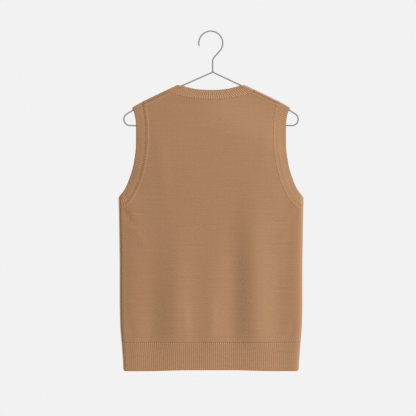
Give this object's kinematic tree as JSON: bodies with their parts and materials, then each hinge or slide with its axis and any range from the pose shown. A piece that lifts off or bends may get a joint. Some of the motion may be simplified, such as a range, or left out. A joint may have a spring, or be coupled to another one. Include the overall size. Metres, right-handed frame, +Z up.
{
  "type": "knitted sweater vest on a wire hanger",
  "caption": "Sleeveless V-neck knitted sweater vest with ribbed neck, armholes and hem, hanging rigid on a plain wire hanger with an open hook.",
  "frame": {"origin": "the inside top of the hanger's hook, in the middle of the wire's underside, where the hook rests on a rail", "axes": "+Z up; the V-neck front of the vest faces +Y and its back faces -Y; +X is to the right seen from behind the vest; the hanger's wire lies in the plane Y = 0"},
  "size_m": [0.4482, 0.0502, 0.8227],
  "materials": {
    "knit_jersey": "light brown plain-knit wool, matt",
    "knit_rib": "the same yarn in a one-by-one rib, matt",
    "plated_wire": "bright plated steel wire"
  },
  "bodies": {
    "root": {"back_panel": "knit_jersey", "front_panel": "knit_jersey", "neckband": "knit_rib", "armhole_band_left": "knit_rib", "armhole_band_right": "knit_rib", "hem_rib_back": "knit_rib", "hem_rib_front": "knit_rib", "hanger_frame": "plated_wire", "hanger_hook": "plated_wire"}
  },
  "joints": []
}
